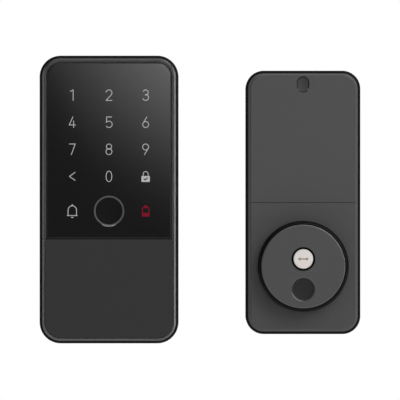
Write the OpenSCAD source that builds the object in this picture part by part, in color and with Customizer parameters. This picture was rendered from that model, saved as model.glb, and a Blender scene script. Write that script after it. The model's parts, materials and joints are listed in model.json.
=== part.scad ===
// Keypad smart lock: the keypad unit for the outside of a door and, beside it, the knob unit
// for the inside. X runs to the right, Z up, and both units face -Y. The plane Y = 0 is the
// door's surface, and what stands behind it (+Y) reaches into the door's cross bore.
// The origin is where the keypad unit's spindle axis meets that plane.

/* [Keypad unit] */
// Width of the keypad unit
ext_w = 72.3; // [71.5:0.1:75]
// Height of the keypad unit
ext_h = 149.9; // [149.5:0.1:156]
// Depth of the keypad unit, from the door to its frame
ext_depth = 24; // [24:0.5:28]
// Radius of the keypad unit's corners
ext_corner = 11; // [10:0.5:13]
// Distance from the spindle axis down to the keypad unit's lower edge
ext_below = 40.2; // [40:0.1:44]
// Height of the seam between glass and keyhole cover, above the spindle axis
seam_ext = 14.2; // [14:0.1:15]

/* [Keypad] */
// Distance between the key columns
key_pitch_x = 19.1; // [17:0.1:20]
// Distance between the key rows
key_pitch_z = 14.1; // [13:0.1:14.5]
// Height of the middle of the bottom row of digits
key_row_0 = 46.8; // [46:0.1:48]
// Height of the fingerprint sensor's centre
sensor_z = 28.8; // [28:0.1:30]
// Outer radius of the ring round the fingerprint sensor
sensor_ring_r = 7.9; // [7.5:0.1:8.1]
// Width of the strokes of the digits
stroke = 0.38; // [0.36:0.02:0.8]

/* [Knob unit] */
// Width of the knob unit
int_w = 59.7; // [59.5:0.1:62]
// Height of the knob unit
int_h = 137.1; // [136.8:0.1:140]
// Depth of the knob unit, from the door to its front panels
int_depth = 27; // [27:0.5:29]
// Radius of the knob unit's corners
int_corner = 9.4; // [9:0.1:11]
// Distance from the knob's axis down to the knob unit's lower edge
int_below = 35.3; // [35:0.1:36]
// Height of the seam between battery cover and lower panel, above the knob's axis
seam_int = 33.2; // [33:0.1:33.5]
// Distance between the axes of the two units, side by side
unit_spacing = 101; // [95:1:140]

/* [Knob] */
// Radius of the knob's rim
knob_r = 23.7; // [22:0.1:25]
// Radius of the knob's face plate
knob_face_r = 21.7; // [21:0.1:22]
// How far the knob stands out from the panel
knob_height = 14; // [14:0.5:18]
// Height of the privacy button above the knob's axis
button_z = 3.9; // [3:0.1:4.5]
// Radius of the privacy button
button_r = 5.2; // [4.6:0.1:5.4]
// Depth of the finger dimple's centre below the knob's axis
dimple_z = 11.8; // [11.8:0.1:12.5]
// Radius of the finger dimple's cup
dimple_r = 5.85; // [5:0.05:6]
// Depth of the dimple's cup
dimple_deep = 1.1; // [0.6:0.1:2]

/* [Door hardware] */
// Distance between the two bolts that clamp the units through the door
bolt_spacing = 38.1; // [36:0.1:40]
// Radius of the door's cross bore, which the centring ring sits in
cross_bore_r = 27; // [27:0.5:28]
// How far the flat spindle reaches into the door
spindle_reach = 58; // [50:1:70]
// Width of the spindle
spindle_w = 8; // [6:0.5:8]
// Thickness of the spindle
spindle_t = 4; // [3:0.5:4]

/* [Gear train] */
// Teeth on the knob's gear
output_teeth = 45; // [45]
// Teeth on the small wheel of the double gear
step_teeth = 12; // [12]
// Teeth on the large wheel of the double gear
wheel_teeth = 44; // [44]
// Teeth on the motor's pinion
motor_teeth = 12; // [12]

/* [Hidden] */
$fn = 64;

black = "#17181a";
charcoal = "#363638";
graphite = "#4f4f50";
steel = "#b9bcc0";
brass = "#c2a25a";
board_green = "#1f5a3c";
chip_black = "#202124";

// Keypad unit: planes from front to back, and the insets of the front pieces.
rim_inset = 1.04;
lip_inset = 1.95;
ext_wall = 1.8;
ext_z = ext_h / 2 - ext_below;
ext_front = -ext_depth;
ext_rim = ext_front + 1.2;
glass_front = ext_front - 0.25;
glass_back = glass_front + 1.3;
glass_inset = 3.75;
glass_ledge = 1.5;
sensor_front = glass_front + 0.35;
sensor_dish = 6.2;
sensor_dish_deep = 0.45;
deck_front = ext_front + 5.2;
deck_back = deck_front + 1.2;
plate_back = -1.0;
plate_front = -2.5;
centring_back = 3;
grommet_z = 19.3;
board_front = -14;
board_back = -12.8;
half_seam = 0.15;
boss_z = [ext_h - ext_below - 10.2, 30, -ext_below + 10.1];
boss_x = ext_w / 2 - 6.4;
stand_x = 22;
stand_z = [34, 96];

// Key cylinder: round part, pin chamber below it, and the row of pins.
plug_r = 6.4;
shell_r = 9.5;
chamber_w = 11;
chamber_z = -19.5;
cyl_front = -19.8;
cyl_back = 6.3;
pin_r = 1.35;
pin_y = [for (i = [0:4]) -15.6 + 4.2 * i];
key_cut = [3.1, 4.0, 2.6, 3.6, 3.1];
cap_back = 11;

// Knob unit: planes from front to back.
int_wall = 1.6;
int_z = int_h / 2 - int_below;
int_front = -int_depth;
int_rim = int_front + 1.2;
web_front = int_front + 2.1;
web_back = web_front + 1.5;
floor_front = -8.8;
floor_back = -7.4;
inner_front = -4.5;
inner_back = -2.5;
steel_front = -2;
cover_back = int_front + 1.8;

// Battery cells, lying across the unit.
cell_r = 7.1;
cell_len = 49.3;
nub_len = 1.2;
cell_y = -17;
cell_pitch = 14.5;
cell_z0 = seam_int + 8.4;
contact_x = 26.6;

// Release tab in the battery cover.
tab_w = 6.2;
tab_h = 8.3;
tab_z = int_h - int_below - 7.2;
tab_pin_y = int_front + 1.3;
tab_pin_z = tab_z - 2.6;
tab_gap = 0.3;

// Shelf of the battery tray behind the tab, with the set button.
deck_x = 14;
deck_y = -20.4;
set_at = [9, 96.4];

// Gear train: modules, centre distances and directions between centres.
output_mod = 0.8;
motor_mod = 0.5;
pressure = 25;
step_angle = 227;
motor_angle = -45;
step_dist = output_mod * (output_teeth + step_teeth) / 2;
motor_dist = motor_mod * (wheel_teeth + motor_teeth) / 2;
step_at = step_dist * [cos(step_angle), sin(step_angle)];
motor_at = step_at + motor_dist * [cos(motor_angle), sin(motor_angle)];
wheel_front = web_back + 0.6;
wheel_back = wheel_front + 3;
output_front = -14;
output_back = -9;
gearplate_front = -6.4;
gearplate_back = -5;
axle_r = 1;
running = 0.05;
gearbox_posts = [[22, -26], [23, 20], [-22, 22]];
cover_posts = [[-24.8, 28.3], [24.8, 28.3], [-25, 88], [25, 88]];
hanger_at = [[-21.5, 96.4], [21.5, 96.4]];
screw_r = 1.5;

// Knob: planes from front to back.
knob_front = int_front - knob_height;
knob_back = int_front - 1;
face_back = knob_front + 1.6;
shaft_front = knob_front + 8;
shaft_back = -4.7;
journal_r = 7;
shaft_r = 6.5;
bush_r = 9;

// ---------------------------------------------------------------- helpers

// Rounded rectangle, centred.
module rounded_rect(w, h, r) {
    square([w - 2 * r, h], center = true);
    square([w, h - 2 * r], center = true);
    for (x = [-1, 1], y = [-1, 1])
        translate([x * (w / 2 - r), y * (h / 2 - r)]) circle(r);
}

// Turns a flat shape, drawn as seen from the front, into a plate from front to back.
module plate(front, back) {
    translate([0, back, 0]) rotate([90, 0, 0]) linear_extrude(back - front) children();
}

// Radius of the sphere that cuts a dish with the given rim radius and depth.
function dish_radius(rim, deep) = (rim * rim + deep * deep) / (2 * deep);

module disc(r, front, back, at = [0, 0]) {
    translate([at[0], back, at[1]]) rotate([90, 0, 0]) cylinder(r = r, h = back - front);
}

module block(x0, x1, front, back, z0, z1) {
    translate([x0, front, z0]) cube([x1 - x0, back - front, z1 - z0]);
}

// Body turned about the Y axis from a profile of [radius, y] points.
module turned(profile) {
    rotate([-90, 0, 0]) rotate_extrude() polygon(profile);
}

// Outline of each unit, drawn about its own spindle axis and shrunk by an inset.
module ext_outline(inset) {
    translate([0, ext_z])
        rounded_rect(ext_w - 2 * inset, ext_h - 2 * inset, max(ext_corner - inset, 1));
}

module int_outline(inset) {
    translate([0, int_z])
        rounded_rect(int_w - 2 * inset, int_h - 2 * inset, max(int_corner - inset, 1));
}

// Half plane above or below a seam, wide enough for either unit.
module above(z) { translate([-60, z]) square([120, 160]); }
module below(z) { translate([-60, z - 160]) square([120, 160]); }

module knob_unit() { translate([unit_spacing, 0, 0]) children(); }

// Screw along Y with its head in front (towards -Y) and a cross in the head.
module screw(r, head_r, head_h, front, back, cross = 0.5) {
    difference() {
        union() {
            disc(head_r, front, front + head_h);
            disc(r, front + head_h, back);
        }
        for (turn = [0, 90])
            translate([0, front, 0]) rotate([0, turn, 0])
                cube([head_r * 1.2, head_h, cross], center = true);
    }
}

// ---------------------------------------------------------------- strokes of the legends

function oval(rx, ry, steps = 32) =
    [for (i = [0:steps - 1]) let (a = 360 * i / steps) [rx * cos(a), ry * sin(a)]];

// Straight stroke with round ends.
module bar(from, to, w = stroke) {
    along = to - from;
    translate(from) rotate(atan2(along[1], along[0]))
        translate([0, -w / 2]) square([norm(along), w]);
    translate(from) circle(w / 2);
    translate(to) circle(w / 2);
}

module ring(centre, r, w = stroke) {
    translate(centre) difference() {
        circle(r + w / 2);
        circle(r - w / 2);
    }
}

// Part of a ring between two angles, with round ends.
module bow(centre, r, from, to, w = stroke) {
    steps = 8;
    intersection() {
        ring(centre, r, w);
        translate(centre) polygon(concat([[0, 0]], [for (i = [0:steps])
            let (a = from + (to - from) * i / steps) 2 * r * [cos(a), sin(a)]]));
    }
    for (a = [from, to]) translate(centre + r * [cos(a), sin(a)]) circle(w / 2);
}

// Digits, 5.5 mm tall between the middles of their strokes.
module digit(n) {
    if (n == 0) difference() {
        polygon(oval(1.5 + stroke / 2, 2.75 + stroke / 2));
        polygon(oval(1.5 - stroke / 2, 2.75 - stroke / 2));
    }
    if (n == 1) {
        bar([-0.95, 2.0], [0.45, 2.75]);
        bar([0.45, 2.75], [0.45, -2.75]);
    }
    if (n == 2) {
        bow([0, 1.2], 1.55, -38, 165);
        bar([1.22, 0.25], [-1.5, -2.75]);
        bar([-1.5, -2.75], [1.6, -2.75]);
    }
    if (n == 3) {
        bow([0, 1.4], 1.35, -95, 155);
        bow([0, -1.2], 1.55, -155, 95);
    }
    if (n == 4) {
        bar([0.3, 2.75], [-1.6, -1.4]);
        bar([-1.6, -1.4], [1.7, -1.4]);
        bar([0.7, 0.7], [0.7, -2.75]);
    }
    if (n == 5) {
        bar([1.4, 2.75], [-1.2, 2.75]);
        bar([-1.2, 2.75], [-1.35, -0.05]);
        bow([0, -1.1], 1.65, -145, 138);
    }
    if (n == 6) {
        bar([0.6, 2.75], [-1.2, -0.3]);
        ring([0, -1.2], 1.55);
    }
    if (n == 7) {
        bar([-1.5, 2.75], [1.5, 2.75]);
        bar([1.5, 2.75], [-0.5, -2.75]);
    }
    if (n == 8) {
        ring([0, 1.4], 1.35);
        ring([0, -1.2], 1.55);
    }
    if (n == 9) rotate(180) digit(6);
}

module back_sign() {
    bar([1.45, 2.1], [-1.5, 0]);
    bar([-1.5, 0], [1.45, -2.1]);
}

module padlock_sign() {
    difference() {
        translate([0, -1.35]) rounded_rect(4.4, 3.1, 0.4);
        bar([-0.85, -1.25], [-0.2, -1.9], 0.55);
        bar([-0.2, -1.9], [0.95, -0.75], 0.55);
    }
    bow([0, 1.2], 1.3, -8, 188);
    for (x = [-1, 1]) bar([x * 1.3, 0.2], [x * 1.29, 1.1]);
}

module bell_sign() {
    bow([0, 0.45], 2.2, -5, 185);
    for (x = [-1, 1]) bar([x * 2.2, 0.3], [x * 2.22, -2.4]);
    bar([-2.6, -2.4], [2.6, -2.4]);
    translate([0, 2.95]) circle(0.42);
    translate([0, -3.35]) rounded_rect(1.2, 0.5, 0.22);
}

module battery_sign() {
    difference() {
        translate([0, -0.45]) rounded_rect(3.9, 4.9, 0.5);
        translate([0, 0.25]) square([2.9, 2.5], center = true);
    }
    translate([0, 2.3]) rounded_rect(1.7, 1.1, 0.3);
}

// ---------------------------------------------------------------- gears

function involute_deg(a) = tan(a) * 180 / PI - a;

// Outline of a spur gear with a tooth on the +X axis. Play is the arc taken off each tooth.
function gear_outline(teeth, mod, play) =
    let (pitch_r = mod * teeth / 2,
         base_r = pitch_r * cos(pressure),
         root_r = pitch_r - 1.25 * mod,
         tip_r = pitch_r + mod,
         start_r = max(base_r, root_r),
         steps = 5,
         half = 90 / teeth - play / pitch_r * 90 / PI + involute_deg(pressure),
         radii = [for (i = [0:steps]) start_r + (tip_r - start_r) * i / steps],
         flank = [for (r = radii) half - involute_deg(acos(min(base_r / r, 1)))])
    [for (t = [0:teeth - 1]) let (mid = 360 * t / teeth)
        each concat(
            [root_r * [cos(mid - half), sin(mid - half)]],
            [for (i = [0:steps]) radii[i] * [cos(mid - flank[i]), sin(mid - flank[i])]],
            [for (i = [steps:-1:0]) radii[i] * [cos(mid + flank[i]), sin(mid + flank[i])]],
            [root_r * [cos(mid + half), sin(mid + half)]])];

module spur(teeth, mod, play, front, back, at, turn) {
    translate([at[0], 0, at[1]])
        plate(front, back) rotate(turn) polygon(gear_outline(teeth, mod, play));
}

// ---------------------------------------------------------------- keypad unit, outside

// Side wall, the deck behind the keyhole cover, and the bosses for the back plate's screws.
module keypad_housing() color(black) difference() {
    union() {
        difference() {
            plate(ext_rim, -0.3) ext_outline(0);
            plate(ext_rim - 1, 1) ext_outline(ext_wall);
        }
        plate(deck_front, deck_back) intersection() {
            ext_outline(ext_wall - 0.2);
            below(seam_ext - 0.8);
        }
        block(-ext_w / 2 + 1, ext_w / 2 - 1, deck_front, deck_back + 3,
              seam_ext - 2, seam_ext - 0.8);
        for (x = [-1, 1], z = boss_z) {
            disc(3.2, -12, plate_front, [x * boss_x, z]);
            block(min(x * boss_x, x * (ext_w / 2 - 1)), max(x * boss_x, x * (ext_w / 2 - 1)),
                  -12, plate_front, z - 1, z + 1);
        }
    }
    for (x = [-1, 1], z = boss_z) disc(1.2, -11, 0, [x * boss_x, z]);
    disc(shell_r + 0.3, deck_front - 1, deck_back + 1);
    for (p = magnet_at) disc(magnet_r, deck_front - 1, deck_back - 0.4, p);
    block(-chamber_w / 2 - 0.3, chamber_w / 2 + 0.3, deck_front - 1, deck_back + 1,
          chamber_z - 0.3, 0);
    usb_mouth(-ext_below - 1, -ext_below + ext_wall + 1, 0.25);
}

// Slot for the charging plug: a flat oval along Z.
usb_y = -10;
module usb_mouth(z0, z1, grow) {
    for (x = [-1, 1]) translate([x * 2.9, usb_y, z0]) cylinder(r = 1.6 + grow, h = z1 - z0);
    block(-2.9, 2.9, usb_y - 1.6 - grow, usb_y + 1.6 + grow, z0, z1);
}

// Window for the glass: round at the top, square at the seam.
module glass_shape(grow) {
    w = ext_w - 2 * glass_inset + 2 * grow;
    top = ext_h - ext_below - glass_inset + grow;
    r = ext_corner - glass_inset + grow;
    intersection() {
        translate([0, top - 60]) rounded_rect(w, 120, r);
        above(seam_ext + 0.25 - grow);
    }
}

module keypad_frame() color(charcoal) difference() {
    union() {
        plate(ext_front, ext_rim) intersection() {
            ext_outline(rim_inset);
            above(seam_ext + half_seam);
        }
        plate(ext_rim, glass_back + 1.5) intersection() {
            ext_outline(lip_inset);
            above(seam_ext + half_seam);
        }
    }
    plate(ext_front - 1, glass_back) intersection() {
        glass_shape(0.1);
        above(seam_ext + half_seam - 1);
    }
    plate(ext_front - 1, 0) glass_shape(-glass_ledge);
}

module glass_panel() color("#1c1d1f") difference() {
    plate(glass_front, glass_back) glass_shape(0);
    disc(sensor_ring_r + 0.1, glass_front - 1, glass_back + 1, [0, sensor_z]);
}

function key_at(column, row) = [(column - 1) * key_pitch_x, key_row_0 + row * key_pitch_z];

module place_key(at) { translate([at[0], 0, at[1]]) children(); }

// Digits and signs: a thin print on the glass.
legend_t = 0.08;
module legend() { plate(glass_front - legend_t, glass_front) children(); }

module key_legends() color("#d9dadb") {
    for (n = [1:9])
        place_key(key_at((n - 1) % 3, 3 - floor((n - 1) / 3))) legend() digit(n);
    place_key(key_at(1, 0)) legend() digit(0);
    place_key(key_at(0, 0)) legend() back_sign();
    place_key(key_at(2, 0)) legend() padlock_sign();
    place_key([-key_pitch_x, sensor_z]) legend() bell_sign();
}

module battery_warning() color("#d01830")
    place_key([key_pitch_x, sensor_z]) legend() battery_sign();

module fingerprint_ring() color("#3c3d40") place_key([0, sensor_z]) difference() {
    disc(sensor_ring_r, glass_front - 0.1, glass_back + 2.5);
    disc(sensor_ring_r - 0.85, glass_front - 1, glass_back + 3);
}

// Sensor with a shallow dish for the fingertip.
module fingerprint_sensor() color("#161719") place_key([0, sensor_z]) {
    dish_r = dish_radius(sensor_dish, sensor_dish_deep);
    difference() {
        disc(sensor_ring_r - 0.9, sensor_front, glass_back + 4.5);
        translate([0, sensor_front + sensor_dish_deep - dish_r, 0]) sphere(r = dish_r, $fn = 96);
    }
}

module touch_board() color(board_green) difference() {
    plate(glass_back, glass_back + 1) glass_shape(-glass_ledge - 0.3);
    disc(sensor_ring_r + 0.2, glass_back - 1, glass_back + 2, [0, sensor_z]);
}

module main_board() color(board_green) difference() {
    plate(board_front, board_back) translate([0, 65]) rounded_rect(56, 72, 2);
    for (x = [-1, 1], z = stand_z) disc(1.1, board_front - 1, board_back + 1, [x * stand_x, z]);
}

// Processor, memory, radio can and touch controller, in front of the board.
module main_board_chips() color(chip_black) {
    block(-6, 6, board_front - 1.4, board_front, 68, 80);
    block(-20, -12, board_front - 1.1, board_front, 70, 76);
    block(10, 22, board_front - 2, board_front, 66, 84);
    block(-18, -9, board_front - 1.2, board_front, 50, 59);
    block(4, 12, board_front - 1, board_front, 46, 52);
    for (i = [0:4]) block(-23 + 5 * i, -21 + 5 * i, board_front - 0.8, board_front, 38, 39.4);
}

module buzzer() color("#2a2b2e") difference() {
    disc(9, board_back, board_back + 4.5, [0, 86]);
    disc(1.2, board_back + 3, board_back + 5, [0, 86]);
}

// Cover over the keyhole, with a lip that drops inside the housing.
module keyhole_cover() color(charcoal) difference() {
    union() {
        plate(ext_front, ext_rim) intersection() {
            ext_outline(rim_inset);
            below(seam_ext - half_seam);
        }
        plate(ext_rim, ext_rim + 2.4) intersection() {
            ext_outline(lip_inset);
            below(seam_ext - half_seam);
        }
    }
    plate(ext_front + 1.9, 0) intersection() {
        ext_outline(lip_inset + 1.4);
        below(seam_ext - 1.6);
    }
}

// Magnets that hold the cover: a pair on the cover and a pair let into the deck.
magnet_r = 3.5;
magnet_at = [[-23, -22], [23, -22]];
module cover_magnets() color(steel) for (p = magnet_at)
    disc(magnet_r, ext_front + 1.9, deck_front - 0.7, p);

module deck_magnets() color(steel) for (p = magnet_at)
    disc(magnet_r, deck_front - 0.2, deck_back - 0.4, p);

// ---------------------------------------------------------------- key cylinder

module cylinder_shape(grow) {
    circle(shell_r + grow);
    translate([-chamber_w / 2 - grow, chamber_z - grow])
        square([chamber_w + 2 * grow, -chamber_z + grow]);
}

module cylinder_flange() { translate([0, -3.5]) rounded_rect(22, 35, 3); }

module cylinder_body() color(steel) difference() {
    union() {
        plate(cyl_front, cyl_back) cylinder_shape(0);
        plate(plate_front - 1.6, plate_front) cylinder_flange();
    }
    disc(plug_r + running, cyl_front - 1, cyl_back + 1);
    for (y = pin_y) translate([0, y, chamber_z + 0.8]) cylinder(r = pin_r + running, h = 15);
    for (x = [-1, 1]) disc(1.3, plate_front - 3, 0, [x * 7.6, 10.6]);
}

// Plug with its keyway; the pins' holes open down to the chamber.
module key_plug() color(brass) difference() {
    union() {
        disc(plug_r, cyl_front, cap_back - 2.9);
        disc(plug_r + 0.9, cyl_front - 1.2, cyl_front - 0.1);
        disc(plug_r, cyl_front - 0.2, cyl_front + 1);
    }
    block(-0.8, 0.8, cyl_front - 3, 2.5, -2.6, 5.0);
    block(-1.4, -0.2, cyl_front - 3, 2.5, 0.2, 1.6);
    for (y = pin_y) translate([0, y, -8]) cylinder(r = pin_r + running, h = 8);
}

module key_pins() color(brass) for (i = [0:4])
    translate([0, pin_y[i], -6.2]) cylinder(r = pin_r, h = key_cut[i]);

module driver_pins() color(steel) for (y = pin_y)
    translate([0, y, -11.2]) cylinder(r = pin_r, h = 4.6);

// Each spring is a sleeve of the coil's outer size.
module pin_springs() color(steel) for (y = pin_y)
    translate([0, y, chamber_z + 0.8]) difference() {
        cylinder(r = pin_r - 0.1, h = 7.5);
        translate([0, 0, -1]) cylinder(r = pin_r - 0.5, h = 10);
    }

module plug_cap() color(steel) difference() {
    disc(8, cyl_back + 0.2, cap_back);
    disc(plug_r, cyl_back, cap_back - 2.9);
    disc(5.8, cap_back - 4, cap_back - 1.1);
    disc(4.7, cap_back - 2, cap_back + 1);
}

// Flat spindle with a round head that turns inside the cap.
module spindle() color(steel) {
    disc(5.7, cap_back - 2.85, cap_back - 1.15);
    difference() {
        block(-spindle_t / 2, spindle_t / 2, cap_back - 1.2, spindle_reach,
              -spindle_w / 2, spindle_w / 2);
        for (z = [-1, 1], x = [-1, 1])
            translate([x * spindle_t / 2, spindle_reach, z * spindle_w / 2])
                rotate([0, 0, 45]) cube([1, 1, 30], center = true);
    }
}

// ---------------------------------------------------------------- keypad unit, inside and back

module usb_port() color(steel) {
    difference() {
        usb_mouth(-ext_below + 0.3, -ext_below + 8, 0);
        usb_mouth(-ext_below, -ext_below + 7, -0.3);
    }
    block(-2.4, 2.4, usb_y - 0.35, usb_y + 0.35, -ext_below + 1, -ext_below + 7.2);
}

module usb_board() color(board_green)
    block(-9, 9, usb_y + 1.6, usb_y + 2.6, -ext_below + 2.2, -26);

module back_plate() color("#8d9095") difference() {
    union() {
        plate(plate_front, plate_back) ext_outline(ext_wall + 0.1);
        for (x = [-1, 1], z = stand_z) disc(2.5, board_back, plate_front, [x * stand_x, z]);
        block(-6, 6, usb_y + 2.6, plate_front, -36, -30);
    }
    plate(plate_front - 1, 0) cylinder_shape(0.3);
    for (x = [-1, 1]) {
        disc(1.3, plate_front - 1, 0, [x * 7.6, 10.6]);
        disc(4, plate_front - 1, 0, [x * bolt_spacing / 2, 0]);
        for (z = stand_z) disc(0.9, board_back - 1, -6, [x * stand_x, z]);
        for (z = boss_z) disc(1.6, plate_front - 1, 0, [x * boss_x, z]);
    }
    plate(plate_front - 1, 0) grommet_slot(0.9);
}

// Screws from behind, six that close the unit and two for the cylinder, and four on the board.
module keypad_unit_screws() color(steel) {
    for (x = [-1, 1]) translate([x * 7.6, 0, 10.6])
        mirror([0, 1, 0]) screw(1.25, 2.3, 0.8, 0.2, 4.5);
    for (x = [-1, 1], z = boss_z) translate([x * boss_x, 0, z])
        mirror([0, 1, 0]) screw(1.15, 2.4, 0.8, 0.2, 9.5);
    for (x = [-1, 1], z = stand_z) translate([x * stand_x, 0, z])
        screw(0.85, 1.9, 0.9, board_front - 0.9, board_front + 6);
}

// Threaded posts that take the bolts from the knob unit.
module bolt_posts() color(steel) for (x = [-1, 1]) difference() {
    union() {
        disc(4, plate_front, 18, [x * bolt_spacing / 2, 0]);
        disc(5.2, plate_front - 1.5, plate_front, [x * bolt_spacing / 2, 0]);
    }
    disc(2.1, 0, 19, [x * bolt_spacing / 2, 0]);
}

module grommet_slot(grow) {
    translate([0, grommet_z]) rounded_rect(10 + 2 * grow, 4.6 + 2 * grow, 1.4 + grow);
}

module cable_grommet() color("#26272a") difference() {
    union() {
        plate(plate_front, centring_back) grommet_slot(0.9);
        plate(plate_front - 1, plate_front) grommet_slot(1.7);
        plate(centring_back, centring_back + 0.8) grommet_slot(1.7);
    }
    plate(-10, 8) grommet_slot(0);
}

module door_gasket() color("#303134") plate(plate_back, 0) difference() {
    ext_outline(ext_wall + 0.6);
    ext_outline(ext_wall + 2.1);
}

// Disc that centres the keypad unit in the door's cross bore.
module centring_disc() color(black) difference() {
    disc(cross_bore_r - 0.4, plate_back, centring_back);
    plate(-5, 8) cylinder_shape(0.3);
    for (x = [-1, 1]) disc(4, -5, 8, [x * bolt_spacing / 2, 0]);
    for (x = [-1, 1]) disc(2.6, -5, 8, [x * 7.6, 10.6]);
    plate(-5, 8) grommet_slot(0.9);
}

// ---------------------------------------------------------------- knob unit, outside

function rect_span(inset) = int_w / 2 - inset;

// Side wall, front web with the bush's seat, battery floor and the wall between them.
module knob_housing() knob_unit() color(black) difference() {
    union() {
        difference() {
            plate(int_rim, 0) int_outline(0);
            plate(int_rim - 1, 1) int_outline(int_wall);
        }
        plate(web_front, web_back) intersection() {
            int_outline(int_wall - 0.2);
            below(seam_int - 0.4);
        }
        plate(floor_front, floor_back) intersection() {
            int_outline(int_wall - 0.2);
            above(seam_int - 1.9);
        }
        block(-rect_span(1), rect_span(1), web_front, floor_back, seam_int - 1.9, seam_int - 0.4);
        for (p = gearbox_posts) disc(2.3, web_back - 0.5, gearplate_front, p);
        for (i = [0, 1]) disc(2.2, web_back - 0.5, inner_front, cover_posts[i]);
        for (i = [2, 3]) disc(2.2, floor_back - 0.5, inner_front, cover_posts[i]);
    }
    disc(bush_r, web_front - 1, web_back + 1);
    disc(axle_r, web_front + 0.6, web_back + 1, step_at);
    for (p = gearbox_posts) disc(0.9, gearplate_front - 6, gearplate_front + 1, p);
    for (p = cover_posts) disc(0.9, floor_back + 0.2, inner_front + 1, p);
    for (p = hanger_at) disc(screw_r + 0.1, floor_front - 1, floor_back + 1, p);
}

module lower_panel() knob_unit() color(graphite) difference() {
    union() {
        plate(int_front, int_rim) intersection() {
            int_outline(rim_inset);
            below(seam_int - half_seam);
        }
        plate(int_rim, web_front) intersection() {
            int_outline(int_wall + 0.2);
            below(seam_int - half_seam);
        }
    }
    disc(10.6, int_front - 1, 0);
}

// Opening for the release tab: an upright oval.
module tab_oval(shrink) {
    w = tab_w - 2 * shrink;
    translate([0, tab_z]) rounded_rect(w, tab_h - 2 * shrink, w / 2 - 0.01);
}

module battery_cover() knob_unit() color(graphite) difference() {
    union() {
        plate(int_front, int_rim) intersection() {
            int_outline(rim_inset);
            above(seam_int + half_seam);
        }
        plate(int_rim, cover_back) intersection() {
            int_outline(int_wall + 0.2);
            above(seam_int + half_seam);
        }
        for (i = [1:3]) block(-24, 24, cover_back - 0.1, cover_back + 1.6,
            cell_z0 + (i - 0.5) * cell_pitch - 0.5, cell_z0 + (i - 0.5) * cell_pitch + 0.5);
    }
    plate(int_front - 1, 0) tab_oval(0);
    translate([-3.8, tab_pin_y, tab_pin_z]) rotate([0, 90, 0]) cylinder(r = 0.6, h = 7.6);
}

// Tab that is pressed in at its top, with the catch that reaches up behind the cover.
module release_tab() knob_unit() color(graphite) difference() {
    union() {
        plate(int_front + 0.4, int_front + 2.3) tab_oval(tab_gap);
        block(-2, 2, int_front + 2.2, int_front + 3.1, tab_z - 1, tab_z + 1);
        block(-2, 2, int_front + 2.3, int_front + 3.1, tab_z - 1, int_h - int_below - int_wall - 0.4);
    }
    translate([-5, tab_pin_y, tab_pin_z]) rotate([0, 90, 0])
        cylinder(r = 0.6 + running, h = 10);
}

module tab_pin() knob_unit() color(steel)
    translate([-3.8, tab_pin_y, tab_pin_z]) rotate([0, 90, 0]) cylinder(r = 0.6, h = 7.6);

// Coil that pushes the tab's top outward, as a sleeve of the coil's outer size.
tab_spring_z = tab_z + 2.2;
module tab_spring() knob_unit() color(steel) difference() {
    disc(1.5, int_front + 3.1, deck_y, [0, tab_spring_z]);
    disc(1.1, int_front, 0, [0, tab_spring_z]);
}

// ---------------------------------------------------------------- batteries

module tray_floor() { intersection() { int_outline(int_wall + 0.3); above(seam_int - 0.2); } }

module battery_tray() knob_unit() color("#26272a") difference() {
    union() {
        plate(floor_front - 1, floor_front) tray_floor();
        for (x = [-1, 1])
            block(min(x * 27, x * 27.8), max(x * 27, x * 27.8), -22, floor_front - 0.9,
                  seam_int + 1, cell_z0 + 3.6 * cell_pitch);
        for (i = [1:3]) block(-25, 25, -12.4, floor_front - 0.9,
            cell_z0 + (i - 0.5) * cell_pitch - 0.5, cell_z0 + (i - 0.5) * cell_pitch + 0.5);
        block(-deck_x, deck_x, deck_y, floor_front - 0.9, 93.1, int_h - int_below - int_wall - 0.3);
    }
    for (p = hanger_at) disc(screw_r + 0.1, -12, 0, p);
    disc(2.1, deck_y - 1, deck_y + 8, set_at);
}

// Four AA cells, head to tail.
module battery_cells() knob_unit() color("#3b6f3a") for (i = [0:3])
    translate([0, cell_y, cell_z0 + i * cell_pitch]) mirror([i % 2, 0, 0]) {
        translate([contact_x - nub_len - cell_len, 0, 0]) rotate([0, 90, 0])
            cylinder(r = cell_r, h = cell_len);
        translate([contact_x - nub_len, 0, 0]) rotate([0, 90, 0]) cylinder(r = 2.7, h = nub_len);
    }

// Contact plates, with conical springs at the cells' flat ends: cones of the coils' outer size.
module battery_contacts() knob_unit() color(steel) for (i = [0:3])
    translate([0, cell_y, cell_z0 + i * cell_pitch]) mirror([i % 2, 0, 0]) {
        for (x = [-27, contact_x]) translate([x, -4.5, -4.5]) cube([27 - contact_x, 9, 9]);
        translate([-contact_x, 0, 0]) rotate([0, 90, 0]) difference() {
            cylinder(r1 = 4.2, r2 = 2.6, h = 2 * contact_x - nub_len - cell_len);
            translate([0, 0, -1]) cylinder(r = 1.8, h = 6);
        }
    }

module set_button() knob_unit() color("#d8d8d4") translate([set_at[0], 0, set_at[1]]) {
    disc(1.95, deck_y - 0.6, deck_y + 2);
}

// ---------------------------------------------------------------- electronics

module control_board() knob_unit() color(board_green)
    plate(floor_back + 0.2, floor_back + 1.4) translate([0, 64]) rounded_rect(44, 54, 2);

module control_board_chips() knob_unit() color(chip_black) {
    chips = floor_back + 1.4;
    block(-7, 4, chips, chips + 1.1, 70, 81);
    block(8, 16, chips, chips + 1, 72, 78);
    block(-18, -11, chips, chips + 1, 60, 66);
    for (i = [0:5]) block(-12 + 4 * i, -10.4 + 4 * i, chips, chips + 0.7, 56, 57.2);
}

socket_z = 44;
module cable_socket() knob_unit() color("#e6e2d6") difference() {
    block(-6, 6, floor_back + 1.4, inner_back - 0.3, socket_z - 2.6, socket_z + 2.6);
    block(-5, 5, floor_back + 2.4, inner_back + 1, socket_z - 1.7, socket_z + 1.7);
}

// ---------------------------------------------------------------- drive

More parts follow.
